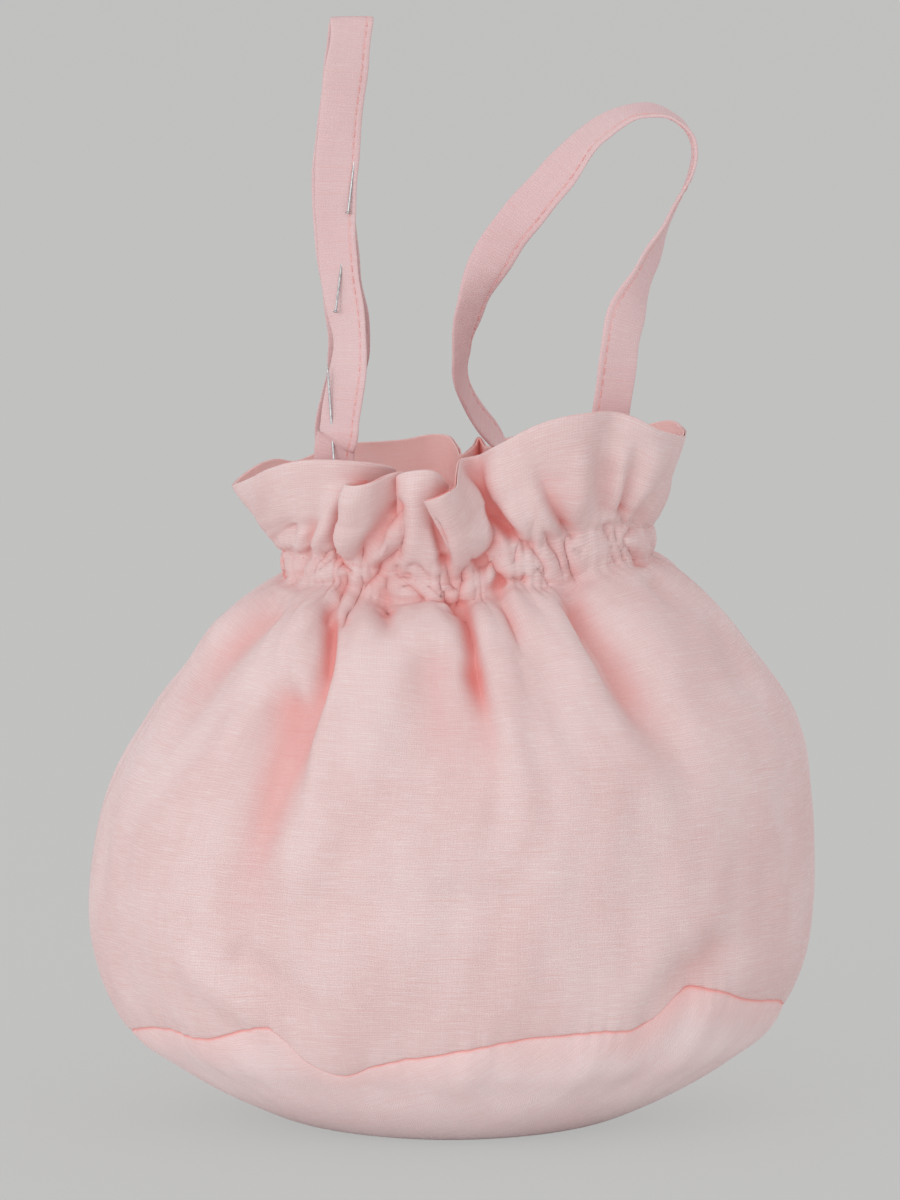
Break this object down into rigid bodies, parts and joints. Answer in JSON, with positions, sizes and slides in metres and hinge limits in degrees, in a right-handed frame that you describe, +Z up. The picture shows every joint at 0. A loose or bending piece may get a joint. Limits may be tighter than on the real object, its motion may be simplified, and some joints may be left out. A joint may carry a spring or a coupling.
{
  "type": "gathered linen pouch",
  "caption": "Soft pale pink linen pouch with a rounded base, a frilled elastic mouth and strap loop handles, one of them pinned flat.",
  "frame": {"origin": "middle of the flat foot under the base, on the floor", "axes": "+Z up, the pouch's front faces -Y and +X is to the right of someone who looks at the front"},
  "size_m": [0.218, 0.1506, 0.3355],
  "materials": {
    "linen": "plain woven, slubby, matte",
    "lining": "plain woven, slubby, matte",
    "strap": "folded linen strip, edge stitched",
    "elastic": "braided, matte",
    "steel": "bright drawn wire"
  },
  "bodies": {
    "pouch": {"outer_front": "linen", "outer_back": "linen", "outer_base": "linen", "lining_front": "lining", "lining_back": "lining", "lining_base": "lining", "casing_elastic": "elastic", "left_handle_front_end": "strap", "left_handle_back_end": "strap", "right_handle_front_end": "strap", "right_handle_back_end": "strap"},
    "left_handle": {"left_handle_loop": "strap"},
    "right_handle": {"right_handle_loop": "strap"},
    "pin_upper": {"pin_upper": "steel"},
    "pin_middle": {"pin_middle": "steel"},
    "pin_lower": {"pin_lower": "steel"}
  },
  "joints": [
    {"name": "left_handle_swing", "type": "hinge", "parent": "pouch", "child": "left_handle", "pos_m": [-0.03447, -0.0005, 0.2085], "axis": [0, 1, 0], "range_deg": [-80, 20]},
    {"name": "right_handle_swing", "type": "hinge", "parent": "pouch", "child": "right_handle", "pos_m": [0.02929, -0.00461, 0.20753], "axis": [-0.6095, 0.792, -0.0348], "range_deg": [-20, 55]},
    {"name": "pin_upper_pull", "type": "slide", "parent": "left_handle", "child": "pin_upper", "axis": [-0.1152, -0.201, -0.9728], "range_m": [0, 0.022]},
    {"name": "pin_middle_pull", "type": "slide", "parent": "left_handle", "child": "pin_middle", "axis": [-0.1198, -0.3008, -0.9461], "range_m": [0, 0.022]},
    {"name": "pin_lower_pull", "type": "slide", "parent": "left_handle", "child": "pin_lower", "axis": [0.0678, -0.3171, -0.946], "range_m": [0, 0.012]}
  ]
}
